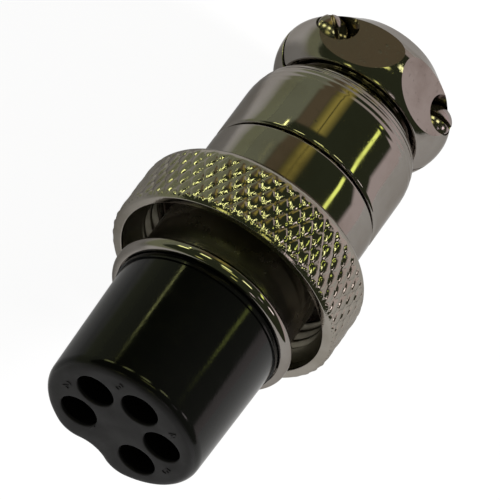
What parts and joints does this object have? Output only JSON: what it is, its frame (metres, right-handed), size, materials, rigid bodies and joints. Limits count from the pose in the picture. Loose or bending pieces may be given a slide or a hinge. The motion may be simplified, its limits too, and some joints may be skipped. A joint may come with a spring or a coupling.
{
  "type": "microphone socket",
  "caption": "Nickel-plated in-line microphone socket with a black round insert, a knurled screw coupling ring and a two-screw cable clamp.",
  "frame": {"origin": "centre of the insert's mating face", "axes": "+X along the connector's axis from the mating face to the cable end, +Z towards the clamp's saddle, the key groove on the -Z side"},
  "size_m": [0.0386, 0.0186, 0.0186],
  "materials": {
    "black_moulding": "glossy black moulding with a duller face",
    "contact_metal": "plated brass",
    "nickel_plate": "bright nickel plate",
    "plated_steel": "bright plated steel"
  },
  "bodies": {
    "connector_body": {"contact_insert": "black_moulding", "socket_contact_1": "contact_metal", "socket_contact_2": "contact_metal", "socket_contact_3": "contact_metal", "socket_contact_4": "contact_metal", "socket_contact_5": "contact_metal", "front_sleeve": "nickel_plate", "insert_lock_screw": "plated_steel", "rear_shell": "nickel_plate", "clamp_base": "nickel_plate"},
    "retainer": {"retaining_ring": "plated_steel"},
    "ring": {"coupling_ring": "nickel_plate"},
    "saddle": {"clamp_saddle": "nickel_plate"},
    "screw_left": {"clamp_screw_left": "plated_steel"},
    "screw_right": {"clamp_screw_right": "plated_steel"}
  },
  "joints": [
    {"name": "coupling_slide", "type": "slide", "parent": "connector_body", "child": "retainer", "axis": [1, 0, 0], "range_m": [-0.0064, 0]},
    {"name": "coupling_spin", "type": "hinge", "parent": "retainer", "child": "ring", "pos_m": [0.0173, 0, 0], "axis": [1, 0, 0], "continuous": true},
    {"name": "saddle_lift", "type": "slide", "parent": "connector_body", "child": "saddle", "axis": [0, 0, 1], "range_m": [0, 0.00157]},
    {"name": "screw_left_turn", "type": "hinge", "parent": "saddle", "child": "screw_left", "pos_m": [0.0356, 0.00509, 0], "axis": [0, 0, 1], "range_deg": [0, 1620]},
    {"name": "screw_right_turn", "type": "hinge", "parent": "saddle", "child": "screw_right", "pos_m": [0.0356, -0.00509, 0], "axis": [0, 0, 1], "range_deg": [0, 1620]}
  ],
  "couplings": [
    {"joint": "screw_left_turn", "follows": "saddle_lift", "rad_per_m": 17952},
    {"joint": "screw_right_turn", "follows": "saddle_lift", "rad_per_m": 17952}
  ]
}
